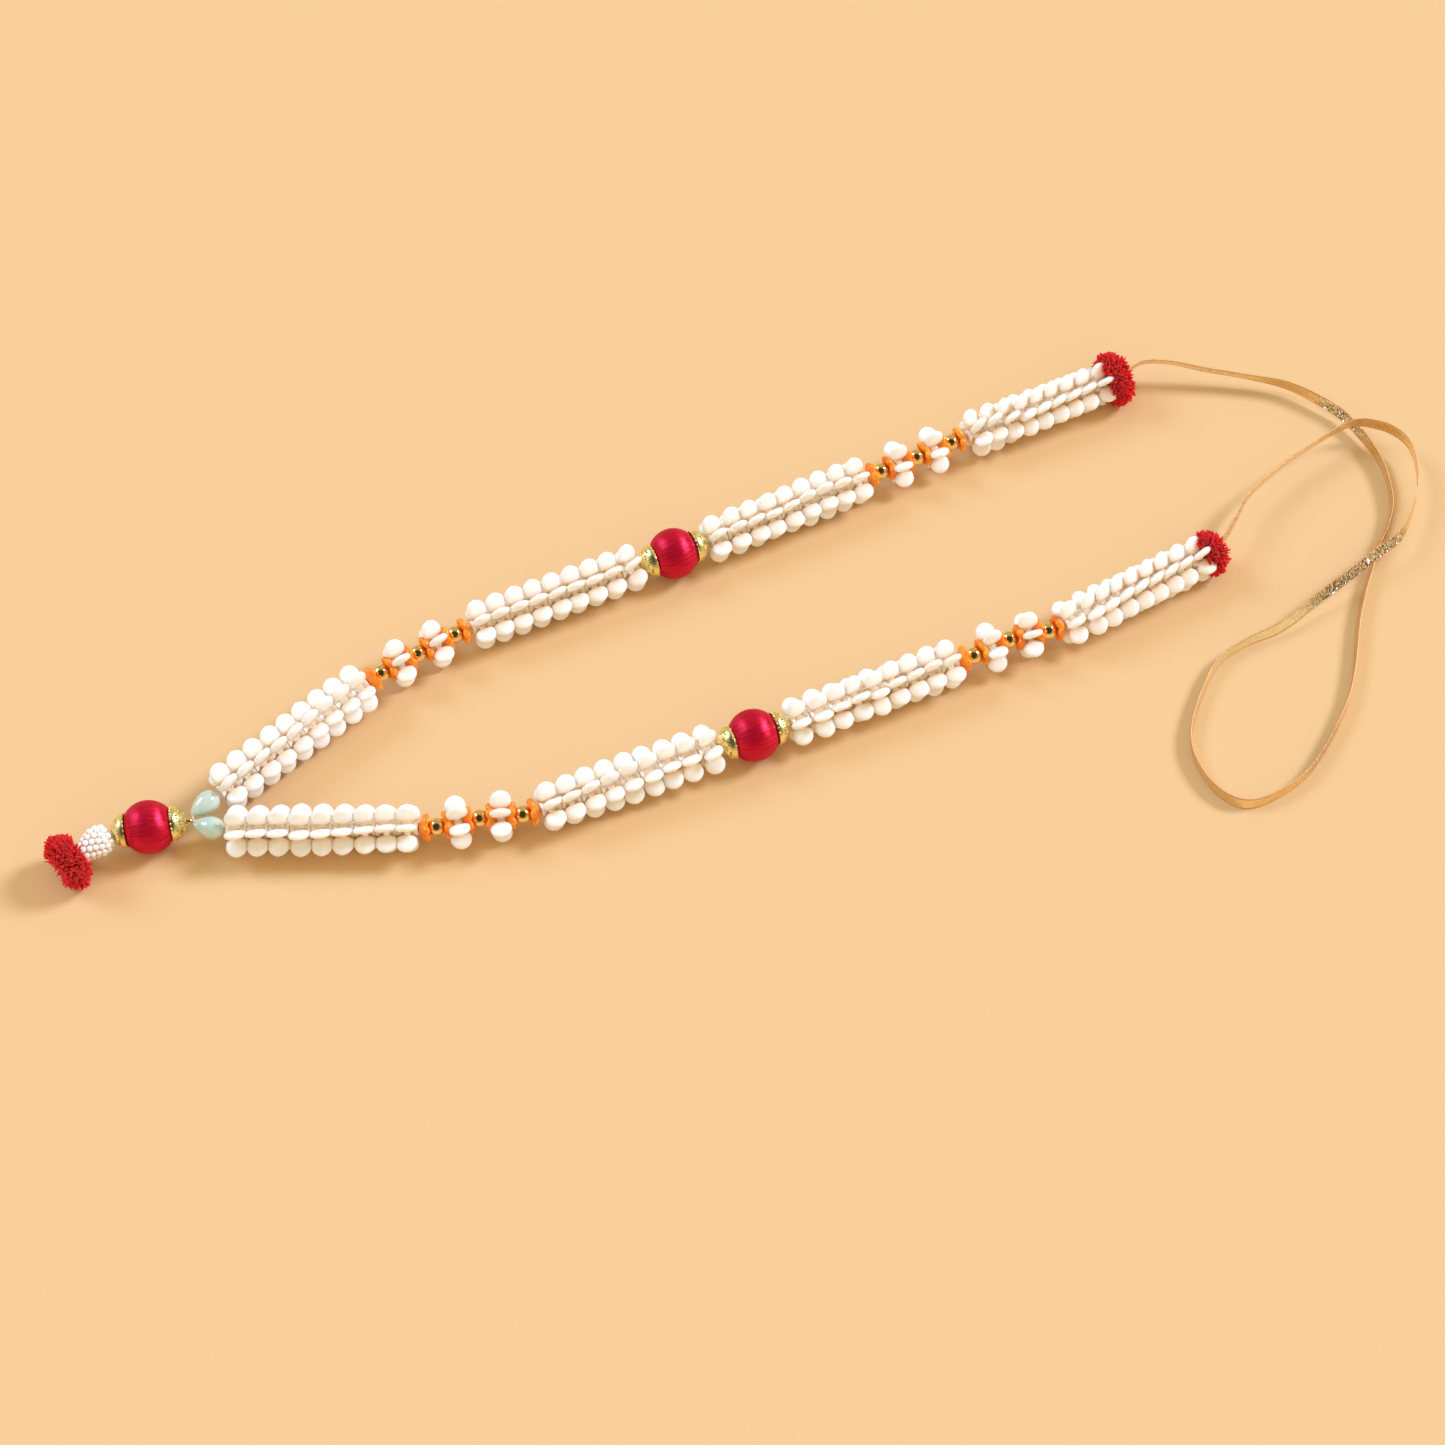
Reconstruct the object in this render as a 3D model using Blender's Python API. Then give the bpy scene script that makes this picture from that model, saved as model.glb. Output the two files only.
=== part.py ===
"""A festive garland of flower beads, lying on a table in a V, with a pendant at its point and a ribbon across its ends.

+X runs along the middle of the V from the pendant to the ribbon, +Y towards the upper strand, and +Z up.
The beads are measured in millimetres, and each mesh is scaled to metres as it is made.
"""

import math
import random

import bpy
from mathutils import Matrix, Vector

# The thread's height over the table: a flower bead stands on the tip of one petal.
AXIS_HEIGHT = 9.85
# Where the two strands meet.
APEX = Vector((-178.39, 1.44, AXIS_HEIGHT))
# Air between two pieces that touch in the real garland.
GAP = 0.3

# A strand is a row of straight stretches of thread: pearl, flowers, spacer, flowers, ball, flowers, spacer, flowers, pompom.
# A spacer is four stretches, with a gold bead at each of the three bends.
STRETCHES = [12.1, 69.8, 6.0, 15.6, 15.6, 6.0, 69.8, 28.2, 69.8, 6.0, 15.6, 15.6, 6.0, 64.6, 3.4]
# The upper strand is strung a little looser everywhere except within its flower runs.
UPPER_SLACK = 0.3
UPPER_HEADINGS = [21, 20, 16, 10, 9, 3, 1, -1, 3, 3, 2, 4, 1, 2, 3]
LOWER_HEADINGS = [-40, -23, -18, -11, -18, -8, -1, -4, 0, -3, 4, -9, -2, 6, 6]
RUNS = (1, 6, 8, 13)
SPACERS = (2, 9)
BALL = 7

FLOWERS_A_RUN = 9
PITCH = 7.65
LAST_RUN_PITCH = 7.0
# From the end of a run to the middle of its first flower.
RUN_END = 4.3


class Solid:
    """Points and faces of one closed body in millimetres, built along local X."""

    def __init__(self):
        self.points = []
        self.faces = []

    def point(self, x, radius, degrees, frame=None):
        """Adds a point around X. Angles start at -Y, where the photograph is taken from, and rise towards +Z."""
        angle = math.radians(degrees)
        place = Vector((x, -radius * math.cos(angle), radius * math.sin(angle)))
        self.points.append(frame @ place if frame else place)
        return len(self.points) - 1

    def ring(self, x, radii, sides, start=0.0, frame=None):
        """Adds a ring of points. The radii repeat round the ring."""
        if not isinstance(radii, (list, tuple)):
            radii = [radii]
        return [
            self.point(x, radii[i % len(radii)], start + 360 * i / sides, frame)
            for i in range(sides)
        ]

    def band(self, near, far):
        """Skins two rings, the first at the lower X, with triangles where one has more points."""
        n, m = len(near), len(far)
        if n == m:
            for i in range(n):
                j = (i + 1) % n
                self.faces.append((near[i], far[i], far[j], near[j]))
            return
        i = j = 0
        while i < n or j < m:
            if (i + 0.5) * m <= (j + 0.5) * n:
                self.faces.append((near[i % n], far[j % m], near[(i + 1) % n]))
                i += 1
            else:
                self.faces.append((near[i % n], far[j % m], far[(j + 1) % m]))
                j += 1

    def skin(self, rings):
        """Skins each ring to the next."""
        for near, far in zip(rings, rings[1:]):
            self.band(near, far)

    def make(self, name, placement):
        mesh = bpy.data.meshes.new(name)
        mesh.from_pydata([placement @ point for point in self.points], [], self.faces)
        mesh.transform(Matrix.Scale(0.001, 4))
        mesh.validate()
        piece = bpy.data.objects.new(name, mesh)
        bpy.context.collection.objects.link(piece)
        return piece


def turned(profile, sides, start=0.0):
    """A body turned about X. The profile's last ring joins the first through the bore."""
    body = Solid()
    rings = [body.ring(x, radius, count or sides, start) for x, radius, count in profile]
    body.skin(rings)
    body.band(rings[-1], rings[0])
    return body


def placed(point, heading):
    """Sets local X along the thread from a point, with +Z up."""
    return Matrix.Translation(point) @ Matrix.Rotation(math.radians(heading), 4, "Z")


def ahead(point, heading, distance):
    """The point this far along a heading."""
    return point + placed(Vector(), heading).to_3x3() @ Vector((distance, 0, 0))


# Flower beads: six disc petals stand round a hexagonal hub, each in a plane with the thread.
# A petal's rim, as (along the thread, away from it), from its root up, over the tip and down.
PETAL_RIM = [(-2.35, 3.5), (-3.64, 6.79), (-1.71, 9.85), (1.71, 9.85), (3.64, 6.79), (2.35, 3.5)]
PETAL_HALF_THICKNESS = 1.1
PETAL_ANGLES = [60 * k for k in range(6)]
# How far each flower is turned, so that one petal stands at this angle. The photograph shows it for every bead.
TURNS = {
    "upper_1": (72, 73, 73, 72, 75, 82, 88, 86, 88),
    "upper_2": (69, 70, 68, 68, 66, 65, 63, 65, 67),
    "upper_3": (67, 67, 64, 60, 64, 73, 76, 69, 62),
    "upper_4": (80, 78, 62, 48, 52, 55, 56, 58, 60),
    "lower_1": (46, 50, 49, 42, 46, 50, 55, 60, 60),
    "lower_2": (66, 68, 75, 82, 92, 97, 106, 104, 100),
    "lower_3": (46, 44, 54, 59, 48, 64, 67, 74, 69),
    "lower_4": (51, 49, 53, 61, 64, 65, 67, 69, 73),
}
SPACER_TURNS = {"upper": (66, 66, 40, 36), "lower": (33, 70, 33, 57)}
# How far a single flower leans across the thread.
SPACER_LEANS = {"upper": (-4, 0, -4, -4), "lower": (0, -3, -4, 0)}


def add_flower(body, x, hub_near, hub_far, turn, width=1.0, sweep=0.0):
    """Grows six petals from the faces between two rings of a hub."""

    def leaning(u, radius):
        return x + width * u + sweep * (radius - 1)

    for k, petal in enumerate(PETAL_ANGLES):
        angle = petal + turn
        rim = [body.point(leaning(u, radius), radius, angle) for u, radius in PETAL_RIM]
        after = (k + 1) % 6
        for side, near, far in ((1, hub_near[after], hub_far[after]), (-1, hub_near[k], hub_far[k])):
            middle_radius = 6.3
            tilt = math.degrees(math.atan(PETAL_HALF_THICKNESS / middle_radius))
            middle = body.point(leaning(0, middle_radius), middle_radius, angle + side * tilt)
            outline = [near, *rim, far]
            for a, b in zip(outline, outline[1:] + outline[:1]):
                body.faces.append((middle, a, b) if side > 0 else (middle, b, a))
        body.faces.append((hub_near[after], hub_near[k], rim[0]))
        body.faces.append((hub_far[k], hub_far[after], rim[-1]))


def flower_run(pitch, turns, width=1.0, sweep=0.0):
    """Nine flower beads on their knobs, in one body with a bore for the thread."""
    body = Solid()
    start = -30
    middles = [RUN_END + pitch * i for i in range(FLOWERS_A_RUN)]
    first = start + turns[0]
    bore_near = body.ring(0, 0.6, 6, first)
    rings = [bore_near, body.ring(0, 1.1, 6, first), body.ring(1.7, 1.5, 6, first)]
    for i, (x, turn) in enumerate(zip(middles, turns)):
        hub_near = body.ring(x - 1.3, 1.15, 6, start + turn)
        hub_far = body.ring(x + 1.3, 1.15, 6, start + turn)
        body.skin([*rings, hub_near])
        add_flower(body, x, hub_near, hub_far, turn, width, sweep)
        if i + 1 < len(middles):
            between = start + (turn + turns[i + 1]) / 2
            knob_far = body.ring(x + pitch - 2.6, 1.5, 6, between)
            rings = [hub_far, body.ring(x + 2.6, 1.5, 6, between), knob_far]
    end = middles[-1] + RUN_END
    last = start + turns[-1]
    bore_far = body.ring(end, 0.6, 6, last)
    body.skin([hub_far, body.ring(end - 1.7, 1.5, 6, last), body.ring(end, 1.1, 6, last), bore_far])
    body.band(bore_far, bore_near)
    return body


def spacer_flower(turn):
    """A single flower bead whose hub is wide enough for the orange flowers' sleeve."""
    body = Solid()
    start = turn - 30
    hub_near = body.ring(-1.5, 2.1, 6, start)
    hub_far = body.ring(1.5, 2.1, 6, start)
    bore_near = body.ring(-1.5, 1.4, 6, start)
    bore_far = body.ring(1.5, 1.4, 6, start)
    body.band(bore_near, hub_near)
    add_flower(body, 0, hub_near, hub_far, turn)
    body.skin([hub_far, bore_far, bore_near])
    return body


# Six orange flowers share a sleeve, one each side of each gold bead, and open towards the bead.
LOBES = (3.9, 5.6, 5.6)
LOBE_ANGLES = (0, 17, 43)
SLEEVE, SLEEVE_BORE = 1.0, 0.5
# From the middle of the gold bead along the thread: the cup's rim, the floor inside it and its foot.
CUP_RIM, CUP_FLOOR, CUP_FOOT = 2.6, 3.9, 5.7


def orange_flowers(corners, headings):
    """The sleeve follows the thread past three gold beads. Corners are the ends of its four stretches."""
    body = Solid()
    bends = [placed(corners[0], headings[0])]
    for k in range(3):
        bends.append(placed(corners[k + 1], (headings[k] + headings[k + 1]) / 2))
    bends.append(placed(corners[4], headings[3]))
    inset = [GAP, 0, 0, 0, -GAP]
    bore = [body.ring(x, SLEEVE_BORE, 6, 0, frame) for x, frame in zip(inset, bends)]
    rings = [bore[0]]
    for k in range(4):
        frame = placed(corners[k], headings[k])
        length = (corners[k + 1] - corners[k]).length
        if k > 0:
            rings.append(body.ring(0, SLEEVE, 6, 0, bends[k]))
            rings.append(body.ring(CUP_FLOOR, SLEEVE, 6, 0, frame))
            rings.append(lobed_rim(body, CUP_RIM, frame))
            rings.append(body.ring(CUP_FOOT, SLEEVE, 6, 0, frame))
        if k < 3:
            rings.append(body.ring(length - CUP_FOOT, SLEEVE, 6, 0, frame))
            rings.append(lobed_rim(body, length - CUP_RIM, frame))
            rings.append(body.ring(length - CUP_FLOOR, SLEEVE, 6, 0, frame))
    body.skin([*rings, *reversed(bore)])
    return body


def lobed_rim(body, x, frame):
    return [
        body.point(x, radius, 60 * k + angle, frame)
        for k in range(6)
        for radius, angle in zip(LOBES, LOBE_ANGLES)
    ]


def gold_bead():
    profile = [(-2.9, 1.6, 0), (-1.3, 3.25, 0), (1.3, 3.25, 0), (2.9, 1.6, 0)]
    return turned(profile, 8, 22.5)


def knot_bead():
    profile = [(-1.05, 0.55, 0), (-0.45, 1.15, 0), (0.45, 1.15, 0), (1.05, 0.55, 0)]
    return turned(profile, 8, 22.5)


def silk_ball():
    """Twelve-sided, with one side flat on the table."""
    half = [(9.98, 0.6, 6), (8.9, 4.5, 0), (6.0, 8.1, 0), (1.5, AXIS_HEIGHT / math.cos(math.pi / 12), 0)]
    profile = [(-x, radius, count) for x, radius, count in half]
    profile += reversed(half)
    return turned(profile, 12, -75)


def cap(length=13.8):
    """A dome with a scalloped rim, hollowed to sit on a ball. X starts at the ball's middle."""
    crown = length - 13.8
    body = Solid()
    profile = [
        (10.3, 0.6, 6),
        (8.75, 5.4, 12),
        (8.85, (6.1, 5.7), 12),
        (10.4, 5.6, 12),
        (12.5 + crown, 3.6, 12),
        (13.8 + crown, 1.4, 6),
        (13.8 + crown, 0.6, 6),
    ]
    rings = [body.ring(x, radius, count, -75) for x, radius, count in profile]
    body.skin(rings)
    body.band(rings[-1], rings[0])
    return body


def pearl():
    """A drop, its narrow end first."""
    profile = [
        (0.25, 0.6, 6),
        (0.35, 1.3, 10),
        (2.6, 2.95, 10),
        (6.2, 4.45, 10),
        (9.2, 4.1, 10),
        (11.3, 2.2, 10),
        (11.8, 0.6, 6),
    ]
    return turned(profile, 10, 0)


def seed_cluster():
    """Rows of small beads wound round the thread, wide at the cap and narrow at the pompom."""
    envelope = [4.0, 5.7, 5.9, 5.2, 4.5, 3.8, 2.8]
    length = 14.2
    body = Solid()
    near = body.ring(0, 0.6, 6)
    rings = [near]
    for row, radius in enumerate(envelope):
        bumps = (radius, radius - 0.8) if row % 2 else (radius - 0.8, radius)
        rings.append(body.ring(length * row / 6, bumps, 20))
    far = body.ring(length, 0.6, 6)
    body.skin([*rings, far])
    body.band(far, near)
    return body


# From the thread to the longest tufts.
POMPOM_REACH = {"upper": 12.2, "lower": 9.9, "pendant": 11.7}


def pompom(seed, reach):
    """A spiky disc of wool, across the thread, pressed flat where it meets the table."""
    tufts = random.Random(seed)
    body = Solid()
    near = body.ring(-2.8, 0.6, 6)
    rings = [near]
    for x, long, short in ((-2.8, 0.88, 0.72), (0, 1.0, 0.88), (2.8, 0.72, 0.88)):
        radii = []
        for i in range(24):
            down = max(0.01, -math.sin(math.radians(360 * i / 24)))
            radius = (short if i % 2 else long) * reach - tufts.uniform(0, 0.5)
            radii.append(min(radius, (AXIS_HEIGHT - 0.05) / down))
        rings.append(body.ring(x, radii, 24))
    far = body.ring(2.8, 0.6, 6)
    body.skin([*rings, far])
    body.band(far, near)
    return body


def thread(name, corners):
    """A square thread of half a millimetre through a row of corners."""
    body = Solid()
    rings = []
    for k, corner in enumerate(corners):
        before = corners[max(k - 1, 0)]
        after = corners[min(k + 1, len(corners) - 1)]
        sides = [(b - a).normalized() for a, b in ((before, corner), (corner, after)) if a != b]
        along = sum(sides, Vector()).normalized()
        heading = math.degrees(math.atan2(along.y, along.x))
        stretch = 1 / max(0.4, along.dot(sides[0]))
        ring = body.ring(0, 0.3, 4)
        for number in ring:
            body.points[number].y *= stretch
            body.points[number] = placed(corner, heading) @ body.points[number]
        rings.append(ring)
    body.faces.append(tuple(rings[0]))
    body.skin(rings)
    body.faces.append(tuple(reversed(rings[-1])))
    return body.make(name, Matrix())


# The ribbon's middle line, in metres, and its lean from standing on edge, in degrees, from the upper pompom round
# to the lower one. It lifts off the table to cross over itself twice.
RIBBON_WIDTH = 5.0
RIBBON_THICKNESS = 0.6
RIBBON_ROUTE = [
    (0.2327, 0.0493, 0.01060, 10),
    (0.2402, 0.0500, 0.01120, 15),
    (0.2507, 0.0462, 0.00980, 22),
    (0.2621, 0.0391, 0.00780, 22),
    (0.2780, 0.0290, 0.00620, 20),
    (0.2906, 0.0191, 0.00520, 2),
    (0.3005, 0.0036, 0.00450, -12),
    (0.3039, -0.0075, 0.00400, -10),
    (0.3047, -0.0272, 0.00340, -2),
    (0.2989, -0.0456, 0.00290, -2),
    (0.2899, -0.0566, 0.00265, -8),
    (0.2802, -0.0647, 0.00265, -14),
    (0.2591, -0.0869, 0.00260, -10),
    (0.2413, -0.1111, 0.00260, 0),
    (0.2280, -0.1249, 0.00260, 6),
    (0.2057, -0.1403, 0.00260, 6),
    (0.1871, -0.1453, 0.00260, 6),
    (0.1746, -0.1433, 0.00260, 8),
    (0.1684, -0.1326, 0.00260, -2),
    (0.1691, -0.1163, 0.00260, -6),
    (0.1777, -0.1026, 0.00260, -10),
    (0.1962, -0.0862, 0.00260, -10),
    (0.2115, -0.0819, 0.00280, -8),
    (0.2282, -0.0813, 0.00360, -20),
    (0.2462, -0.0767, 0.00540, -28),
    (0.2652, -0.0722, 0.00740, -30),
    (0.2778, -0.0686, 0.00810, -30),
    (0.2889, -0.0655, 0.00840, -24),
    (0.3004, -0.0560, 0.00860, -14),
    (0.3099, -0.0451, 0.00850, -6),
    (0.3156, -0.0324, 0.00880, -4),
    (0.3155, -0.0240, 0.00920, 0),
    (0.3104, -0.0161, 0.00960, 3),
    (0.2998, -0.0106, 0.00970, -4),
    (0.2802, -0.0137, 0.00950, -10),
    (0.2626, -0.0183, 0.00960, -9),
    (0.2451, -0.0253, 0.01010, 0),
    (0.2330, -0.0344, 0.01070, 8),
    (0.2242, -0.0405, 0.01020, 10),
]


def smooth(points, steps):
    """A curve through the points, as a list, with this many steps from each to the next."""
    padded = [2 * points[0] - points[1], *points, 2 * points[-1] - points[-2]]
    curve = []
    for a, b, c, d in zip(padded, padded[1:], padded[2:], padded[3:]):
        for step in range(steps):
            t = step / steps
            curve.append(
                (2 * b + (c - a) * t + (2 * a - 5 * b + 4 * c - d) * t**2 + (3 * b - a - 3 * c + d) * t**3) / 2
            )
    return [*curve, points[-1]]


def ribbon(leaving, arriving):
    """A band with a rectangular section, from one pompom's back to the other's."""
    route = [Vector((x * 1000, y * 1000, z * 1000, lean)) for x, y, z, lean in RIBBON_ROUTE]
    start = Vector((*leaving, RIBBON_ROUTE[0][3]))
    end = Vector((*arriving, RIBBON_ROUTE[-1][3]))
    curve = smooth([start, *route, end], 2)
    body = Solid()
    rings = []
    for k, station in enumerate(curve):
        here = station.xyz
        along = (curve[min(k + 1, len(curve) - 1)] - curve[max(k - 1, 0)]).xyz.normalized()
        side = along.cross(Vector((0, 0, 1))).normalized()
        up = side.cross(along)
        lean = math.radians(station.w)
        width = (up * math.cos(lean) + side * math.sin(lean)) * RIBBON_WIDTH / 2
        through = along.cross(width).normalized() * RIBBON_THICKNESS / 2
        first = len(body.points)
        body.points += [here - width + through, here + width + through, here + width - through, here - width - through]
        rings.append(list(range(first, first + 4)))
    body.faces.append(tuple(rings[0]))
    body.skin(rings)
    body.faces.append(tuple(reversed(rings[-1])))
    return body.make("ribbon", Matrix())


def strand(side, start, headings, slack):
    """Strings one arm of the V and returns the corners of its thread and its pompom's back."""
    corners = [APEX + Vector((*start, 0))]
    for k, (length, heading) in enumerate(zip(STRETCHES, headings)):
        corners.append(ahead(corners[-1], heading, length + (0 if k in RUNS else slack)))

    pearl().make(side + "_pearl", placed(corners[0], headings[0]))

    for number, k in enumerate(RUNS):
        turns = TURNS[f"{side}_{number + 1}"]
        if number == 3:
            run = flower_run(LAST_RUN_PITCH, turns, 0.93, 0.2)
        else:
            run = flower_run(PITCH, turns)
        run.make(f"{side}_flower_run_{number + 1}", placed(corners[k], headings[k]))

    for number, k in enumerate(SPACERS):
        stretch = headings[k : k + 4]
        flowers = orange_flowers(corners[k : k + 5], stretch)
        flowers.make(f"{side}_orange_flowers_{number + 1}", Matrix())
        for n in range(3):
            mean = (stretch[n] + stretch[n + 1]) / 2
            gold_bead().make(f"{side}_gold_bead_{3 * number + n + 1}", placed(corners[k + n + 1], mean))
        for n in range(2):
            middle = (corners[k + n + 1] + corners[k + n + 2]) / 2
            turn = SPACER_TURNS[side][2 * number + n]
            lean = SPACER_LEANS[side][2 * number + n]
            spacer_flower(turn).make(f"{side}_spacer_flower_{2 * number + n + 1}", placed(middle, stretch[n + 1] + lean))

    middle = (corners[BALL] + corners[BALL + 1]) / 2
    capped_ball(side, middle, headings[BALL], cap(), cap())

    pompom(len(side) + headings[0], POMPOM_REACH[side]).make(side + "_pompom", placed(corners[-1], headings[-1]))
    back = ahead(corners[-1], headings[-1], 2.8 + 2 * GAP)
    corners[-1] = ahead(corners[-1], headings[-1], 1.5)
    return corners, back


def capped_ball(side, middle, heading, near, far):
    silk_ball().make(side + "_ball", placed(middle, heading))
    near.make(side + "_ball_cap_inner", placed(middle, heading + 180))
    far.make(side + "_ball_cap_outer", placed(middle, heading))


def pendant():
    """Ball, seed beads and pompom beyond the point of the V. Returns the corners of its thread, pompom first."""
    heading = 166
    ball = ahead(APEX, heading, 14.3)
    capped_ball("pendant", ball, heading, cap(13.3), cap(13.3))
    bead = ahead(APEX, heading, -0.3)
    knot_bead().make("knot_bead", placed(bead, heading))

    bend = ahead(APEX, heading, 27.75)
    tail = 197
    seed_cluster().make("seed_cluster", placed(ahead(bend, tail, 0.9), tail))
    tip = ahead(bend, tail, 18.2)
    pompom(3, POMPOM_REACH["pendant"]).make("pendant_pompom", placed(tip, tail))
    return [ahead(tip, tail, 1.5), bend, ahead(APEX, heading, -1.9)]


for old in list(bpy.data.objects):
    bpy.data.objects.remove(old)

pendant_corners = pendant()
upper_corners, upper_back = strand("upper", (1.9, 2.2), UPPER_HEADINGS, UPPER_SLACK)
lower_corners, lower_back = strand("lower", (1.3, -1.6), LOWER_HEADINGS, 0)

thread("upper_thread", [*pendant_corners, *upper_corners])
thread("lower_thread", lower_corners)

ribbon(upper_back, lower_back)
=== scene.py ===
# %% [markdown]
# # A festive flower garland
# The real garland is a string of moulded plastic flowers, polished beads and silk-wound balls. It lies on a
# table in a V, with a short pendant at the point and a metallic ribbon across the open end. Its plain
# solids are loaded first, and each step below models one kind of piece and strings it where the solids say.

# %% Load the solids
import math
import random

import bmesh
import bpy
from mathutils import Matrix, Vector


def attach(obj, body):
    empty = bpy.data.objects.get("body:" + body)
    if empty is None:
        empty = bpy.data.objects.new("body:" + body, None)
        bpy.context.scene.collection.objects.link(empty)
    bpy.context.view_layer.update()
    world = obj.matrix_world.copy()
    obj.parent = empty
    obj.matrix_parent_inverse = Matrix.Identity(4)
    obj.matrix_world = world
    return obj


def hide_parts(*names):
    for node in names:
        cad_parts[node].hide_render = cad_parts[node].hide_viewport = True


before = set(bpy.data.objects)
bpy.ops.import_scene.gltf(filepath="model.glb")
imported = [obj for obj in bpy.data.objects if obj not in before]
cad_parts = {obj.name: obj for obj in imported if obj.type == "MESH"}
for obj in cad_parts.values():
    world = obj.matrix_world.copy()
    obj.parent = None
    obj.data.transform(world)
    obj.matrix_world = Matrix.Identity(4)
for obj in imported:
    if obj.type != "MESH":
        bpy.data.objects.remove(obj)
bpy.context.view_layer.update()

# %% [markdown]
# ## The camera
# The photograph looks down at 57 degrees. A camera could be turned by hand until the view looks right. A
# fit is surer: its height and lens follow from the two arms of the V, which are strung alike, and from the
# three balls, which are the same size.

# %% Set up the camera
CAMERA_TILT = 57
CAMERA_TURN = -24.06
CAMERA_PLACE = (-0.1986, -0.51425, 0.8127)
CAMERA_LENS = 64.775
camera = bpy.data.objects.new("camera", bpy.data.cameras.new("camera"))
bpy.context.scene.collection.objects.link(camera)
camera.location = CAMERA_PLACE
camera.rotation_euler = (math.radians(90 - CAMERA_TILT), 0, math.radians(CAMERA_TURN))
camera.data.lens = CAMERA_LENS
camera.data.sensor_width = 36
bpy.context.scene.camera = camera
print("camera", camera.data.lens, "mm lens")

# %% [markdown]
# ## Tools for the bench
# Every piece is modelled on a bench where one unit is a millimetre and the thread runs along X, then shrunk
# to metres as it is strung. Working large keeps the operators' usual tolerances safe on pieces a few
# millimetres wide.

# %% Put things down and pick them up
SHRINK = Matrix.Scale(0.001, 4)


def put_down():
    """Ends editing and deselects everything."""
    if bpy.context.mode != "OBJECT":
        bpy.ops.object.mode_set(mode="OBJECT")
    bpy.ops.object.select_all(action="DESELECT")


def pick(kind, test):
    """In edit mode, selects the points, edges or faces that pass a test of (middle, part)."""
    bpy.ops.mesh.select_mode(type=kind)
    bpy.ops.mesh.select_all(action="DESELECT")
    mesh = bpy.context.edit_object.data
    form = bmesh.from_edit_mesh(mesh)
    parts = {"VERT": form.verts, "EDGE": form.edges, "FACE": form.faces}[kind]
    for part in parts:
        corners = [part] if kind == "VERT" else part.verts
        middle = sum((corner.co for corner in corners), Vector()) / len(corners)
        if test(middle, part):
            part.select_set(True)
    bmesh.update_edit_mesh(mesh)


def edit():
    """Settles the new primitive's place in its mesh and starts editing with all of it selected."""
    bpy.ops.object.transform_apply(location=True, rotation=True, scale=True)
    bpy.ops.object.mode_set(mode="EDIT")
    bpy.ops.mesh.select_all(action="SELECT")


def move(x=0, y=0, z=0):
    bpy.ops.transform.translate(value=(x, y, z))


def stretch(x=1, y=1, z=1, about=(0, 0, 0)):
    bpy.ops.transform.resize(value=(x, y, z), center_override=about)


def extrude(x=0, y=0, z=0):
    bpy.ops.mesh.extrude_region_move(TRANSFORM_OT_translate={"value": (x, y, z)})


def spin_copies(count):
    """Copies the selection evenly round the thread."""
    sweep = math.radians(360 * (count - 1) / count)
    bpy.ops.mesh.spin(steps=count - 1, dupli=True, angle=sweep, center=(0, 0, 0), axis=(1, 0, 0))


def point_outwards():
    """Turns every face's front to the outside."""
    bpy.ops.mesh.select_all(action="SELECT")
    bpy.ops.mesh.normals_make_consistent(inside=False)


def apply(kind, **settings):
    """Gives the active object a modifier and applies it."""
    if bpy.context.mode != "OBJECT":
        bpy.ops.object.mode_set(mode="OBJECT")
    modifier = bpy.context.active_object.modifiers.new("step", kind)
    for key, value in settings.items():
        setattr(modifier, key, value)
    bpy.ops.object.modifier_apply(modifier="step")


def lift_off(name, smooth_under):
    """Takes the finished model off the bench and returns it."""
    if bpy.context.mode != "OBJECT":
        bpy.ops.object.mode_set(mode="OBJECT")
    model = bpy.context.active_object
    bpy.ops.object.shade_smooth_by_angle(angle=math.radians(smooth_under))
    model.name = model.data.name = name
    put_down()
    return model


def turn(profile, steps):
    """Turns a profile of (along the thread, away from it) into an open skin. Stays in edit mode."""
    put_down()
    start, radius = profile[0]
    bpy.ops.mesh.primitive_circle_add(
        vertices=steps, radius=radius, location=(start, 0, 0), rotation=(0, math.radians(90), 0)
    )
    edit()
    for (x, radius), (next_x, next_radius) in zip(profile, profile[1:]):
        bpy.ops.mesh.extrude_edges_move(TRANSFORM_OT_translate={"value": (next_x - x, 0, 0)})
        stretch(y=next_radius / radius, z=next_radius / radius)


def bridge_bore():
    """Joins the two open ends through the bore."""
    pick("EDGE", lambda middle, edge: edge.is_boundary)
    bpy.ops.mesh.bridge_edge_loops()
    point_outwards()


def model_turned(name, profile, steps):
    """Turns a profile into a closed bead with a bore."""
    turn(profile, steps)
    bridge_bore()
    return lift_off(name, 60)


# %% String copies as one piece
pieces = []


def string(name, finish, solids, copies):
    """Makes one piece from copies of models, each (model, place in millimetres), for the named solids."""
    form = bmesh.new()
    for model, place in copies:
        copy = model.data.copy()
        copy.transform(SHRINK @ place)
        form.from_mesh(copy)
        bpy.data.meshes.remove(copy)
    mesh = bpy.data.meshes.new(name)
    form.to_mesh(mesh)
    form.free()
    mesh.materials.clear()
    mesh.materials.append(finish)
    piece = bpy.data.objects.new(name, mesh)
    bpy.context.scene.collection.objects.link(piece)
    register(piece, solids)


def register(piece, solids):
    """Every piece rides on the one body, hides its plain solids and joins the list of pieces."""
    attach(piece, "root")
    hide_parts(*solids)
    pieces.append(piece)


# %% [markdown]
# ## Where things hang on the thread
# A strand is a row of straight stretches of thread. The headings and lengths are those of the solids, so a
# bead that is strung here lands on its solid.

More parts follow.
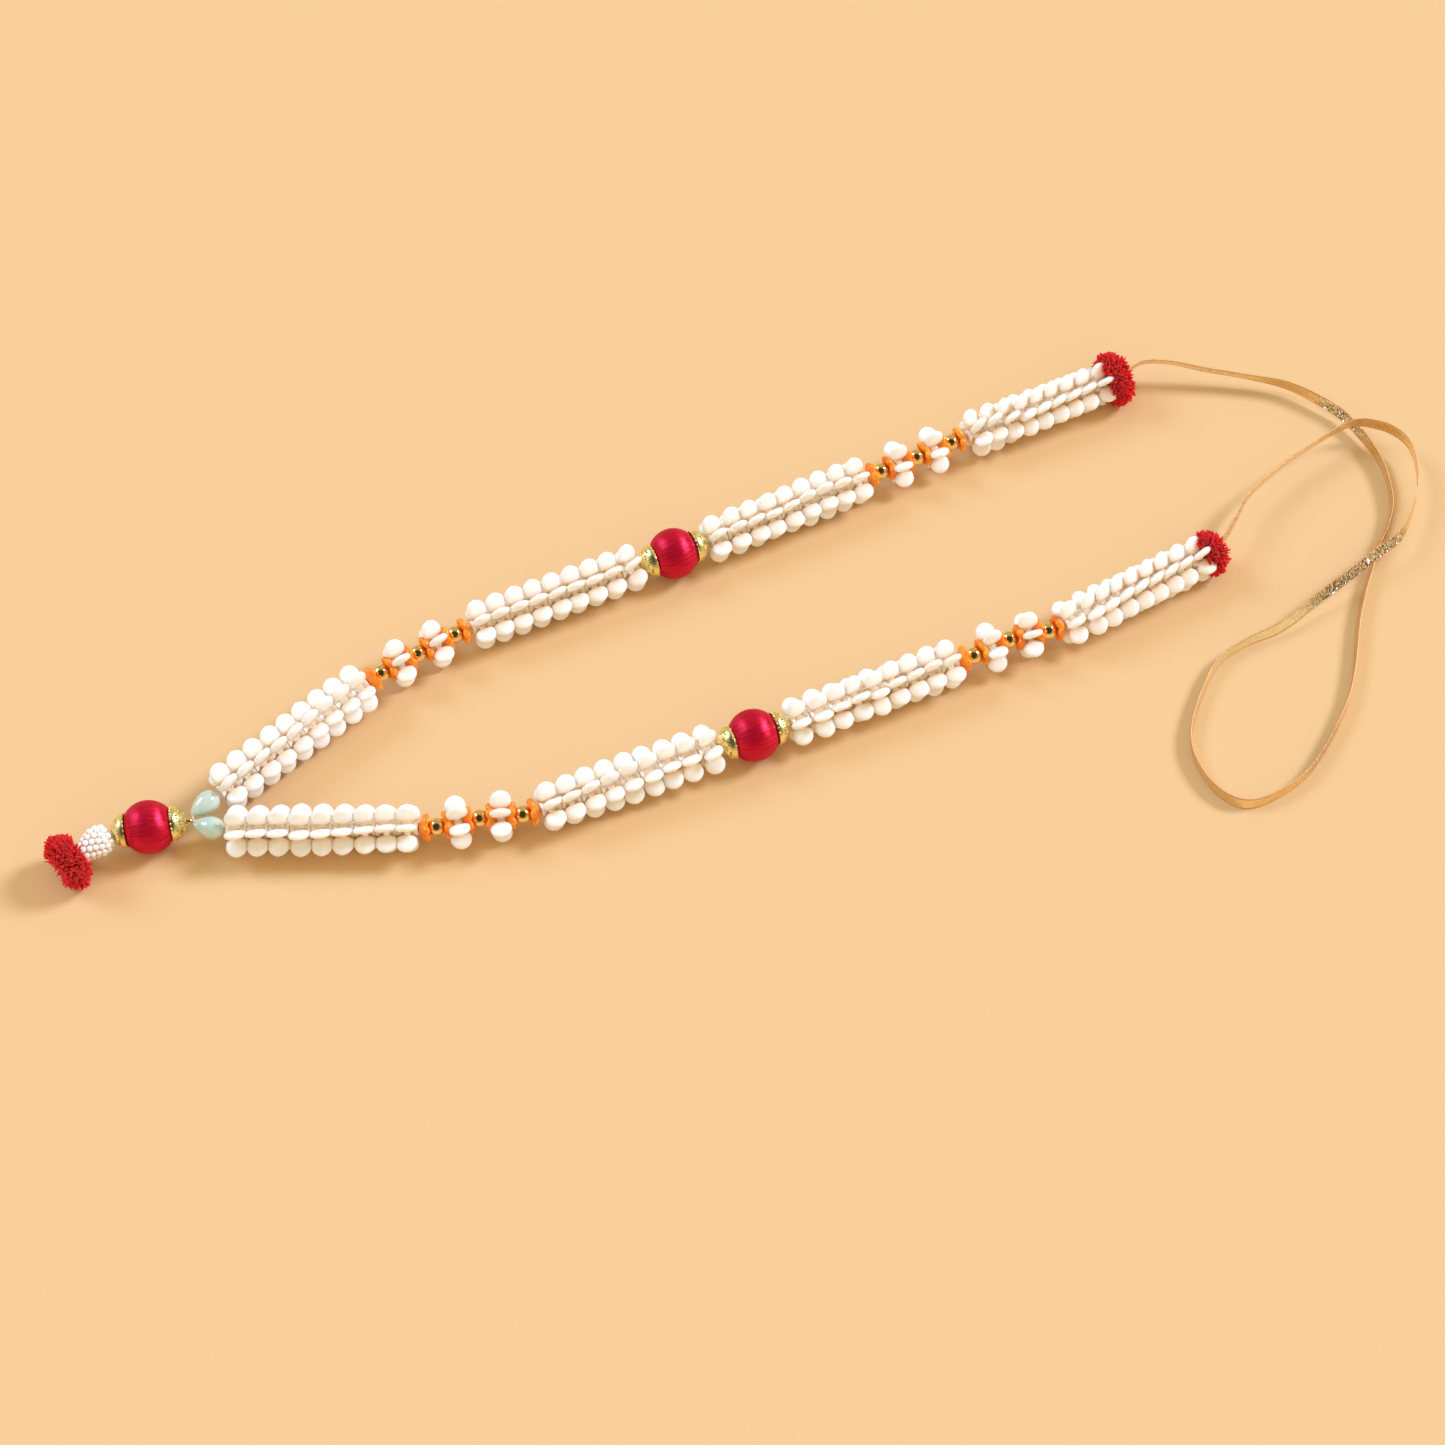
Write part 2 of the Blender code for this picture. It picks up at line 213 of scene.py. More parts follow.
# %% Lay out the thread
AXIS_HEIGHT = 9.85
APEX = Vector((-178.39, 1.44, AXIS_HEIGHT))
STRETCHES = [12.1, 69.8, 6.0, 15.6, 15.6, 6.0, 69.8, 28.2, 69.8, 6.0, 15.6, 15.6, 6.0, 64.6, 3.4]
UPPER_SLACK = 0.3
HEADINGS = {
    "upper": [21, 20, 16, 10, 9, 3, 1, -1, 3, 3, 2, 4, 1, 2, 3],
    "lower": [-40, -23, -18, -11, -18, -8, -1, -4, 0, -3, 4, -9, -2, 6, 6],
}
STARTS = {"upper": (1.9, 2.2), "lower": (1.3, -1.6)}
RUNS = (1, 6, 8, 13)
SPACERS = (2, 9)
BALL = 7


def placed(point, heading):
    """Sets the bench's X along the thread from a point."""
    return Matrix.Translation(point) @ Matrix.Rotation(math.radians(heading), 4, "Z")


def ahead(point, heading, distance):
    return placed(point, heading) @ Vector((distance, 0, 0))


def turned(degrees):
    """Turns a bead on the thread. Turns count from the viewer's side up."""
    return Matrix.Rotation(math.radians(-degrees), 4, "X")


corners = {}
for side in ("upper", "lower"):
    corners[side] = [APEX + Vector((*STARTS[side], 0))]
    for k, (length, heading) in enumerate(zip(STRETCHES, HEADINGS[side])):
        slack = UPPER_SLACK if side == "upper" and k not in RUNS else 0
        corners[side].append(ahead(corners[side][-1], heading, length + slack))
    print(side, "strand ends at", corners[side][-1])

# %% [markdown]
# ## Finishes
# Each finish is a node material: one texture varies its colour a little, as moulded, plated or spun stuff
# varies, and another roughens it. The textures read Object coordinates, which are metres on every piece, or
# the piece's own UV map where threads or ribs have to follow the shape.


# %% Start a finish
class Finish:
    """A material with a Principled shader, and the few nodes that the finishes below share."""

    def __init__(self, name):
        self.material = bpy.data.materials.new(name)
        self.material.use_nodes = True
        self.tree = self.material.node_tree
        self.shader = self.tree.nodes["Principled BSDF"]
        print("finish:", name)

    def node(self, kind, **settings):
        made = self.tree.nodes.new("ShaderNode" + kind)
        for key, value in settings.items():
            setattr(made, key, value)
        return made

    def link(self, out, into):
        self.tree.links.new(out, into)

    def set(self, **values):
        """Sets the shader's own sockets. Underscores stand for spaces."""
        for key, value in values.items():
            self.shader.inputs[key.replace("_", " ")].default_value = value

    def place(self, uv=False, scale=(1, 1, 1)):
        """Coordinates on the piece, scaled."""
        coordinates = self.node("TexCoord")
        mapping = self.node("Mapping")
        mapping.inputs["Scale"].default_value = scale
        self.link(coordinates.outputs["UV" if uv else "Object"], mapping.inputs["Vector"])
        return mapping.outputs["Vector"]

    def noise(self, place, scale, detail=2.0, roughness=0.5):
        texture = self.node("TexNoise")
        texture.inputs["Scale"].default_value = scale
        texture.inputs["Detail"].default_value = detail
        texture.inputs["Roughness"].default_value = roughness
        self.link(place, texture.inputs["Vector"])
        return texture.outputs["Fac"]

    def ramp(self, value, *stops):
        """Colours a value. Each stop is (position, colour)."""
        ramp = self.node("ValToRGB")
        elements = ramp.color_ramp.elements
        while len(elements) < len(stops):
            elements.new(0.5)
        for element, (position, colour) in zip(elements, stops):
            element.position = position
            element.color = (*colour, 1)
        self.link(value, ramp.inputs["Fac"])
        return ramp.outputs["Color"]

    def fill(self, socket, value):
        """Gives a socket another node's output or a plain value."""
        if isinstance(value, tuple):
            socket.default_value = value
        else:
            self.link(value, socket)

    def mix(self, share, a, b):
        """Blends colour a towards colour b."""
        blend = self.node("Mix", data_type="RGBA")
        self.link(share, blend.inputs["Factor"])
        self.fill(blend.inputs["A"], a)
        self.fill(blend.inputs["B"], b)
        return blend.outputs["Result"]

    def vector(self, operation, a, b):
        maths = self.node("VectorMath", operation=operation)
        self.fill(maths.inputs[0], a)
        self.fill(maths.inputs[1], b)
        return maths.outputs["Vector"]

    def colour(self, source):
        self.link(source, self.shader.inputs["Base Color"])

    def paint_hollow_shade(self, colour, shade_colour, reach):
        """Paints shade into a colour: it turns deeper in the narrow places that light reaches only through
        the material.
        """
        hollow = self.node("AmbientOcclusion", samples=6)
        hollow.inputs["Distance"].default_value = reach
        openness = self.ramp(hollow.outputs["AO"], (0.3, (0, 0, 0)), (0.85, (1, 1, 1)))
        return self.mix(openness, (*shade_colour, 1), colour)

    def roughen(self, value, low, high):
        spread = self.node("MapRange")
        spread.inputs["To Min"].default_value = low
        spread.inputs["To Max"].default_value = high
        self.link(value, spread.inputs["Value"])
        self.link(spread.outputs["Result"], self.shader.inputs["Roughness"])

    def bump(self, height, strength, distance, facing=None):
        """Roughens the surface. Facing is a direction for it to start from."""
        bump = self.node("Bump")
        bump.inputs["Strength"].default_value = strength
        bump.inputs["Distance"].default_value = distance
        self.link(height, bump.inputs["Height"])
        if facing:
            self.link(facing, bump.inputs["Normal"])
        self.link(bump.outputs["Normal"], self.shader.inputs["Normal"])


# %% [markdown]
# ## The ribbon
# The ribbon is woven from flat metal yarn with a copper-coloured selvage along each edge. It leaves the
# back of one pompom, wanders over the table in two loops, crosses itself twice and ends in the other
# pompom. It is a cord: a fixed length of something limp. A curve object with a flat bevel could make it
# too. Here its line is a list of points, and a band is skinned ring by ring along the smooth curve through
# them, because then its lean, its edges and its map of the weave are set point by point.

# %% The ribbon's line
# Each point is in metres, with the ribbon's lean from standing on edge in degrees.
RIBBON_ROUTE = [
    (0.2327, 0.0493, 0.01060, 18), (0.2402, 0.0500, 0.01120, 23),
    (0.2507, 0.0462, 0.00980, 26), (0.2621, 0.0391, 0.00780, 23),
    (0.2780, 0.0290, 0.00620, 20), (0.2906, 0.0191, 0.00520, 2),
    (0.3005, 0.0036, 0.00450, -12), (0.3039, -0.0075, 0.00400, -10),
    (0.3047, -0.0272, 0.00340, -2), (0.2989, -0.0456, 0.00290, -2),
    (0.2899, -0.0566, 0.00265, -8), (0.2802, -0.0647, 0.00265, -14),
    (0.2591, -0.0869, 0.00260, -10), (0.2413, -0.1111, 0.00260, 0),
    (0.2280, -0.1249, 0.00260, 6), (0.2057, -0.1403, 0.00260, 6),
    (0.1871, -0.1453, 0.00260, 6), (0.1746, -0.1433, 0.00260, 8),
    (0.1684, -0.1326, 0.00260, -2), (0.1691, -0.1163, 0.00260, -6),
    (0.1777, -0.1026, 0.00260, -10), (0.1962, -0.0862, 0.00260, -10),
    (0.2115, -0.0819, 0.00280, -8), (0.2282, -0.0813, 0.00360, -20),
    (0.2462, -0.0767, 0.00540, -28), (0.2652, -0.0722, 0.00740, -30),
    (0.2778, -0.0686, 0.00810, -30), (0.2889, -0.0655, 0.00840, -24),
    (0.3004, -0.0560, 0.00860, -14), (0.3099, -0.0451, 0.00850, -6),
    (0.3156, -0.0324, 0.00880, -4), (0.3155, -0.0240, 0.00920, 0),
    (0.3104, -0.0161, 0.00960, 3), (0.2998, -0.0106, 0.00970, -4),
    (0.2802, -0.0137, 0.00950, -10), (0.2626, -0.0183, 0.00960, -9),
    (0.2451, -0.0253, 0.01010, 0), (0.2330, -0.0344, 0.01070, 8),
    (0.2242, -0.0405, 0.01020, 10),
]
RIBBON_WIDTH = 0.005
POMPOM_BACK = 3.4


def smooth(points, steps):
    """A curve through the points, as a list, with this many steps from each to the next."""
    padded = [2 * points[0] - points[1], *points, 2 * points[-1] - points[-2]]
    curve = []
    for a, b, c, d in zip(padded, padded[1:], padded[2:], padded[3:]):
        for step in range(steps):
            t = step / steps
            bend = (2 * a - 5 * b + 4 * c - d) * t**2
            swing = (3 * b - a - 3 * c + d) * t**3
            curve.append((2 * b + (c - a) * t + bend + swing) / 2)
    return [*curve, points[-1]]


leaving, arriving = (
    SHRINK @ ahead(corners[side][-1], HEADINGS[side][-1], POMPOM_BACK) for side in ("upper", "lower")
)
route = [Vector(point) for point in RIBBON_ROUTE]
route = [Vector((*leaving, route[0].w)), *route, Vector((*arriving, route[-1].w))]
ribbon_line = smooth(route, 16)

# %% Skin the ribbon
# Half of the section, from one edge to the other: two rounded selvages and a flat woven web, in parts of
# the half width and in metres of half thickness.
SECTION = [
    (-1.0, 0.00005), (-0.97, 0.00016), (-0.91, 0.00017), (-0.86, 0.00011), (-0.45, 0.00010),
    (0.0, 0.00010), (0.45, 0.00010), (0.86, 0.00011), (0.91, 0.00017), (0.97, 0.00016), (1.0, 0.00005),
]


def skin_ribbon(line):
    """Skins the section along the line, with a UV map of metres along and 0 to 1 across."""
    form = bmesh.new()
    uv = form.loops.layers.uv.new("weave")
    outline = [(w, t) for w, t in SECTION] + [(w, -t) for w, t in reversed(SECTION)]
    rings = []
    travelled = 0
    for k, station in enumerate(line):
        before, after = line[max(k - 1, 0)], line[min(k + 1, len(line) - 1)]
        along = (after - before).xyz.normalized()
        side = along.cross(Vector((0, 0, 1))).normalized()
        up = side.cross(along)
        lean = math.radians(station.w)
        width = up * math.cos(lean) + side * math.sin(lean)
        through = along.cross(width).normalized()
        if k:
            travelled += (station - line[k - 1]).xyz.length
        ring = [form.verts.new(station.xyz + width * w * RIBBON_WIDTH / 2 + through * t) for w, t in outline]
        rings.append((ring, travelled))
    for (near, start), (far, end) in zip(rings, rings[1:]):
        for i in range(len(outline)):
            j = (i + 1) % len(outline)
            face = form.faces.new((near[i], far[i], far[j], near[j]))
            here, there = (outline[i][0] + 1) / 2, (outline[j][0] + 1) / 2
            places = ((start, here), (end, here), (end, there), (start, there))
            for loop, place in zip(face.loops, places):
                loop[uv].uv = place
    form.faces.new(rings[0][0])
    form.faces.new(list(reversed(rings[-1][0])))
    bmesh.ops.recalc_face_normals(form, faces=form.faces)
    mesh = bpy.data.meshes.new("ribbon_weave")
    form.to_mesh(mesh)
    form.free()
    for face in mesh.polygons:
        face.use_smooth = True
    return mesh


ribbon = bpy.data.objects.new("ribbon_weave", skin_ribbon(ribbon_line))
bpy.context.scene.collection.objects.link(ribbon)
register(ribbon, ["ribbon"])
print("ribbon faces", len(ribbon.data.polygons))

# %% [markdown]
# Lamé is flat metal yarn laid across the band. Where its ribs lie even it is a smooth mirror and takes the
# colour of the sheet. Where the band twists, each rib catches the light its own way and it glitters. A list
# says where, in metres along the ribbon, because that depends on how this ribbon fell and not on chance.
# Small cells on the ribbon's own UV map then tip the surface at random, and their colour runs from dark to
# white as painted glints. One stretch is painted pale, a painted reflection of the room. The selvages are
# copper-coloured.

# %% Ribbon colours
# Where the ribbon glitters: there its cells tilt the surface and carry painted glints.
GLITTER_AND_PAINTED_GLINTS = [
    (0.010, 0.3), (0.050, 0.3), (0.060, 0.0), (0.082, 0.0), (0.088, 1.0), (0.104, 1.0), (0.114, 0.12),
    (0.250, 0.12), (0.258, 0.7), (0.274, 0.7), (0.280, 0.05), (0.370, 0.05), (0.395, 0.12), (0.422, 0.25),
    (0.432, 1.0), (0.474, 1.0), (0.482, 0.05), (0.600, 0.05), (0.612, 0.6), (0.632, 0.6),
]
# One stretch is painted pale: a painted reflection of the pale room instead of the sheet.
PAINTED_ROOM_REFLECTION = [(0.345, 0.0), (0.375, 0.8), (0.420, 1.0), (0.440, 0.0)]
# Across the band, from 0 to 1.
SELVAGES = [(0.0, 1), (0.06, 1), (0.09, 0), (0.91, 0), (0.94, 1), (1.0, 1)]

lame = Finish("metallic ribbon")


def amount(value, stops):
    """Turns a list of (place, amount) into a ramp of greys."""
    return lame.ramp(value, *((place, (grey, grey, grey)) for place, grey in stops))


along_and_across = lame.node("SeparateXYZ")
lame.link(lame.place(uv=True), along_and_across.inputs["Vector"])
glitter_and_painted_glints = amount(along_and_across.outputs["X"], GLITTER_AND_PAINTED_GLINTS)
has_painted_reflection = amount(along_and_across.outputs["X"], PAINTED_ROOM_REFLECTION)
is_selvage = amount(along_and_across.outputs["Y"], SELVAGES)
cells = lame.node("TexVoronoi")
cells.inputs["Scale"].default_value = 3000
lame.link(lame.place(uv=True, scale=(1, 0.0026, 1)), cells.inputs["Vector"])
web = lame.ramp(cells.outputs["Color"], (0.2, (0.88, 0.66, 0.33)), (0.8, (0.97, 0.80, 0.46)))
# Painted glints: where the ribbon glitters, each cell is painted from dark to near white.
painted_glints = lame.ramp(
    cells.outputs["Color"], (0.3, (0.22, 0.15, 0.06)), (0.5, (0.85, 0.74, 0.45)), (0.62, (1.0, 0.97, 0.88))
)
# Painted reflection: along that stretch the web is painted pale.
web_with_painted_reflection = lame.mix(has_painted_reflection, web, (0.95, 0.95, 0.72, 1))
web_with_painted_glints = lame.mix(glitter_and_painted_glints, web_with_painted_reflection, painted_glints)
lame.colour(lame.mix(is_selvage, web_with_painted_glints, (0.98, 0.50, 0.24, 1)))

# %% Ribbon shine
# Each cell's colour, from 0 to 1 on three axes, is centred and used as a small tilt.
centred = lame.vector("SUBTRACT", cells.outputs["Color"], (0.5, 0.5, 0.5))
tipped = lame.vector("MULTIPLY", centred, glitter_and_painted_glints)
facing = lame.vector("ADD", lame.node("NewGeometry").outputs["Normal"], tipped)
ribs = lame.node("TexWave", wave_type="BANDS", bands_direction="X")
ribs.inputs["Scale"].default_value = 650
lame.link(lame.place(uv=True), ribs.inputs["Vector"])
lame.bump(ribs.outputs["Fac"], 0.25, 0.0001, facing)
lame.roughen(is_selvage, 0.2, 0.4)
lame.set(Metallic=0.92)
ribbon.data.materials.append(lame.material)

# %% [markdown]
# ## The table and the light
# The garland lies on a plain peach sheet between two lamps, a strong one on the right and a weaker one
# behind on the left. Suns with a wide angle stand for them, because their shadows are equally soft all
# along the garland. Both are cooler than the light that comes round from the room and the sheet, so shadows
# turn orange. The room is dim round the camera: that is why polished beads show dark middles. A large plane
# with a faint grain is enough for the plain sheet.

# %% Table
bpy.ops.mesh.primitive_plane_add(size=12, location=(0, 0, 0))
table = bpy.context.active_object
table.name = "table"
peach = Finish("peach paper")
grain = peach.noise(peach.place(), 900, 3)
peach.colour(peach.ramp(grain, (0.3, (0.74, 0.487, 0.248)), (0.7, (0.75, 0.5, 0.257))))
peach.set(Roughness=0.9, Specular_IOR_Level=0.1)
table.data.materials.append(peach.material)
put_down()

# %% Light
TOWARDS_CAMERA = (-0.222, -0.497, 0.839)


def lamp(name, towards, strength, spread, colour):
    """A soft light from far away. towards points from the table to the lamp."""
    light = bpy.data.lights.new(name, "SUN")
    light.energy = strength
    light.angle = math.radians(spread)
    light.color = colour
    placed_light = bpy.data.objects.new(name, light)
    placed_light.rotation_euler = Vector(towards).to_track_quat("Z", "Y").to_euler()
    bpy.context.scene.collection.objects.link(placed_light)
    return placed_light


lamp("lamp_right", (1.24, -0.05, 1.0), strength=2.15, spread=17, colour=(0.9, 1.0, 1.3))
lamp("lamp_left", (-0.85, 0.9, 1.0), strength=1.05, spread=26, colour=(0.7, 1.0, 1.5))
# This one stands for the pale wall behind the camera. Beads mirror the dim room there, not the wall.
wall_light = lamp(
    "light_off_the_wall", TOWARDS_CAMERA, strength=1.6, spread=100, colour=(1.0, 0.85, 0.62)
)
wall_light.visible_glossy = False

ROOM_STRENGTH = 0.53
room = bpy.data.worlds.new("room")
room.use_nodes = True
bpy.context.scene.world = room
sky = room.node_tree.nodes
direction = sky.new("ShaderNodeTexCoord")
towards_camera = sky.new("ShaderNodeVectorMath")
towards_camera.operation = "DOT_PRODUCT"
towards_camera.inputs[1].default_value = TOWARDS_CAMERA
room.node_tree.links.new(direction.outputs["Generated"], towards_camera.inputs[0])
shade = sky.new("ShaderNodeValToRGB")
shade.color_ramp.elements[0].position = 0.55
shade.color_ramp.elements[0].color = (1.0, 0.87, 0.42, 1)
shade.color_ramp.elements[1].position = 0.82
shade.color_ramp.elements[1].color = (0.10, 0.07, 0.05, 1)
room.node_tree.links.new(towards_camera.outputs["Value"], shade.inputs["Fac"])
room.node_tree.links.new(shade.outputs["Color"], sky["Background"].inputs["Color"])
sky["Background"].inputs["Strength"].default_value = ROOM_STRENGTH
bpy.context.scene.view_settings.view_transform = "Standard"
print("two lamps, a wall and a dim room")

# %% [markdown]
# ## The white flowers
# Each flower bead is moulded in milky plastic: a hub along the thread and six tongue-shaped petals, thick
# in the middle and thin at the rim. The petals stand round the thread like the blades of a paddle wheel, so
# a run of beads nests into a fluffy rope. A petal could be sculpted, but a short cylinder keeps its rim
# round: its faces are inset and pulled out into a lens, its lower half is widened and pressed up, and its
# foot is drawn down to the hub.

# %% One petal
PETAL_MIDDLE = 5.9
PETAL_RADIUS = 3.87
PRESSED = 0.68
TIP_POINT = 0.12
RIM = 0.7
RIDGE = 0.1
STALK = 1.5
FOOT = 0.6
HUB_TOP = 1.4
# Steps from the rim towards the middle: how far in, and how far out of the face.
LENS = [(0.35, 0.46), (0.8, 0.36), (1.1, 0.16)]
# Steps down from the middle, and how much wider everything below them gets.
TONGUE = [(0.9, 1.03), (1.8, 1.07), (2.6, 1.08)]


def model_petal():
    put_down()
    bpy.ops.mesh.primitive_cylinder_add(
        vertices=32, radius=PETAL_RADIUS, depth=RIM, location=(0, 0, PETAL_MIDDLE),
        rotation=(math.radians(90), 0, 0),
    )
    edit()
    for side in (1, -1):
        pick("FACE", lambda middle, face: face.normal.y * side > 0.9)
        for border, rise in LENS:
            bpy.ops.mesh.inset(thickness=border, depth=0)
            move(y=rise * side)
        # The two halves of the mould leave a fine ridge down the middle.
        pick("VERT", lambda middle, point: abs(middle.x) < 0.1 and middle.y * side > RIM)
        move(y=RIDGE * side)
    # Below its middle the petal keeps its width, like a tongue, and ends sooner than a disc would.
    for depth, widen in TONGUE:
        pick("VERT", lambda middle, point: middle.z < PETAL_MIDDLE - depth)
        stretch(x=widen)
    below = PETAL_MIDDLE - 1
    pick("VERT", lambda middle, point: middle.z < below)
    stretch(z=PRESSED, about=(0, 0, below))
    # A little point is left at the tip where the mould was filled.
    pick("VERT", lambda middle, point: middle.z > PETAL_MIDDLE + PETAL_RADIUS * 0.995)
    move(z=TIP_POINT)
    # A narrow stalk meets the hub.
    pick("FACE", lambda middle, face: abs(middle.x) < 1.1 and middle.z < 3.7 and abs(middle.y) < 0.2)
    extrude(z=-STALK)
    stretch(x=1.3, y=1.9, z=0, about=(0, 0, HUB_TOP))
    extrude(z=-FOOT)
    stretch(x=1.1)
    return lift_off("petal", 45)


petal = model_petal()
print("petal faces", len(petal.data.polygons))

# %% Hubs
# A flower's hub is a spool: thin under the petals, with half a ball at each end, so two beads that touch
# show a whole one between their petals. Leaning flowers sit closer and have a shorter hub. A single flower
# has a short thick one.
HUB_PROFILE = [
    (-3.7, 0.5), (-3.7, 2.4), (-3.6, 2.55), (-3.1, 2.45), (-2.6, 2.2), (-2.2, 1.8), (-2.0, 1.5),
    (2.0, 1.5), (2.2, 1.8), (2.6, 2.2), (3.1, 2.45), (3.6, 2.55), (3.7, 2.4), (3.7, 0.5),
]
SHORT_HUB_PROFILE = [(x * 0.92, radius) for x, radius in HUB_PROFILE]
WIDE_HUB_PROFILE = [(-1.6, 0.5), (-1.6, 1.9), (-1.3, 2.2), (1.3, 2.2), (1.6, 1.9), (1.6, 0.5)]
hub = model_turned("hub", HUB_PROFILE, 18)
short_hub = model_turned("short_hub", SHORT_HUB_PROFILE, 18)
wide_hub = model_turned("wide_hub", WIDE_HUB_PROFILE, 16)
print("hub faces", len(hub.data.polygons), len(wide_hub.data.polygons))

# %% One flower
# The first petal is laid towards the viewer's side, at angle 0, and copied round the hub. A union makes
# petals and hub one skin, so light that enters a petal can wander through the whole bead.
PETAL_ROOT = 1


def model_flower(middle, lean, twist):
    """Six petals on a hub. Lean tips them along the thread, twist turns each on its stalk, in degrees."""
    put_down()
    model = bpy.data.objects.new("flower", petal.data.copy())
    bpy.context.scene.collection.objects.link(model)
    root = Matrix.Translation((0, 0, PETAL_ROOT))
    model.data.transform(Matrix.Rotation(math.radians(twist), 4, "Z"))
    model.data.transform(root @ Matrix.Rotation(math.radians(lean), 4, "Y") @ root.inverted())
    model.data.transform(Matrix.Rotation(math.radians(90), 4, "X"))
    bpy.context.view_layer.objects.active = model
    model.select_set(True)
    edit()
    spin_copies(6)
    apply("BOOLEAN", operation="UNION", object=middle, solver="EXACT", use_self=True)
    return lift_off("flower", 45)


# A little twist lays each petal's edge over the next one's. Where flowers sit closer, it is larger.
FLOWER_FORMS = {
    "upright": (hub, 0, 5),
    "single": (wide_hub, 0, 4),
    "leaning": (short_hub, 10, 17),
    "open": (short_hub, 27, 8),
    "backward": (short_hub, -13, 8),
}
flowers = {name: model_flower(*form) for name, form in FLOWER_FORMS.items()}
reach = max(point.co.yz.length for point in flowers["upright"].data.vertices)
print("flower faces", len(flowers["upright"].data.polygons), "reach", round(reach, 2))

# %% [markdown]
# The plastic is milky: light goes in, scatters and comes out warmer. A translucent shader suits thin
# sheets, and these petals are thick, so subsurface scattering does the work. Between the petals and round
# the hub the cream is painted deeper, as painted shade. A faint cloudiness varies its colour, and a slight
# gloss rides on top.

# %% Milky plastic
milky = Finish("milky plastic")
cloud = milky.noise(milky.place(), 320, 3)
cream = milky.ramp(cloud, (0.3, (0.99, 0.94, 0.90)), (0.7, (1.0, 0.965, 0.94)))
# Painted shade: between the petals and round the hub the cream is painted a deeper amber.
milky.colour(milky.paint_hollow_shade(cream, (1.0, 0.76, 0.58), 0.004))
milky.roughen(milky.noise(milky.place(), 1500, 2), 0.26, 0.4)
milky.bump(milky.noise(milky.place(), 900, 2), 0.08, 0.0002)
milky.set(
    Subsurface_Weight=1.0, Subsurface_Radius=(1.0, 0.8, 0.58), Subsurface_Scale=0.0025, IOR=1.46,
    Coat_Weight=0.2, Coat_Roughness=0.15,
)

# %% [markdown]
# ## Stringing the flowers
# Nine flowers make a run. Loose beads turn on the thread, so every flower has its own turn, read from how
# its petals look in the photograph: where one petal points at the camera, it is seen edge-on as a white bar
# along the thread. An Array modifier would turn them all alike, so a loop strings them. In the last run of
# each strand the petals lean towards the pompom, and the last flower opens wide.

# %% How far each flower is turned
# Degrees from the viewer's side up to a petal, as for the solids.
TURNS = {
    "upper": (
        (72, 73, 73, 72, 75, 82, 88, 86, 88), (69, 70, 68, 68, 66, 65, 63, 65, 67),
        (67, 67, 64, 60, 64, 73, 76, 69, 62), (80, 78, 62, 48, 52, 55, 56, 58, 60),
    ),
    "lower": (
        (46, 50, 49, 42, 46, 50, 55, 60, 60), (66, 68, 75, 82, 92, 97, 106, 104, 100),
        (46, 44, 54, 59, 48, 64, 67, 74, 69), (51, 49, 53, 61, 64, 65, 67, 69, 73),
    ),
}
SINGLE_TURNS = {"upper": (66, 66, 40, 36), "lower": (33, 70, 33, 57)}
# How far a single flower leans across the thread.
SINGLE_LEANS = {"upper": (-4, 0, -4, -4), "lower": (0, -3, -4, 0)}

# %% String the runs
FLOWERS_A_RUN = 9
PITCH = 7.65
LAST_RUN_PITCH = 7.0
RUN_END = 4.3
SWAY = 4
BEFORE_BALL, AFTER_BALL, LAST_RUN = 1, 2, 3


def choose_flower(side, run, i):
    """Beside a ball the petals lean towards it. In the last run they lean towards the pompom."""
    first = i == 0
    last = i == FLOWERS_A_RUN - 1
    # The lower strand's last run starts with a flower that leans back.
    if first and (run == AFTER_BALL or run == LAST_RUN and side == "lower"):
        return flowers["backward"]
    if run == LAST_RUN:
        return flowers["open" if last else "leaning"]
    return flowers["leaning" if run == BEFORE_BALL and last else "upright"]


loose = random.Random(7)
for side in ("upper", "lower"):
    for run, k in enumerate(RUNS):
        pitch = LAST_RUN_PITCH if run == LAST_RUN else PITCH
        start = placed(corners[side][k], HEADINGS[side][k])
        copies = []
        for i, degrees in enumerate(TURNS[side][run]):
            # No bead sits quite square on a thread.
            sway = Matrix.Rotation(math.radians(loose.uniform(-SWAY, SWAY)), 4, "Z")
            here = start @ Matrix.Translation((RUN_END + pitch * i, 0, 0)) @ sway
            copies.append((choose_flower(side, run, i), here @ turned(degrees)))
        label = run + 1
        string(
            f"{side}_flowers_{label}", milky.material,
            [f"{side}_flower_run_{label}"], copies,
        )
print(len(pieces), "pieces so far")

# %% String the single flowers
for side in ("upper", "lower"):
    for number, k in enumerate(SPACERS):
        for n in range(2):
            middle = (corners[side][k + n + 1] + corners[side][k + n + 2]) / 2
            index = 2 * number + n
            heading = HEADINGS[side][k + n + 1] + SINGLE_LEANS[side][index]
            here = placed(middle, heading) @ turned(SINGLE_TURNS[side][index])
            label = index + 1
            string(
                f"{side}_single_flower_{label}", milky.material,
                [f"{side}_spacer_flower_{label}"], [(flowers["single"], here)],
            )
print(len(pieces), "pieces so far")

# %% [markdown]
# ## The orange flowers
# A translucent orange flower sits each side of every gold bead and holds it like a cup. It has six thick
# round lobes, close enough to run together at the foot. One lobe starts as a ball, pressed to a fat disc
# and leant over the bead, and is copied round the thread. A neck joins the lobes. A Boolean would leave
# sharp creases between them, so a remesh melts everything into one soft moulding.

# %% One orange flower
LOBE_LEAN = 30
LOBE_SIZE = (1.45, 1.95, 2.2)
LOBE_PLACE = (3.95, 0, 3.15)
MELT = 0.36


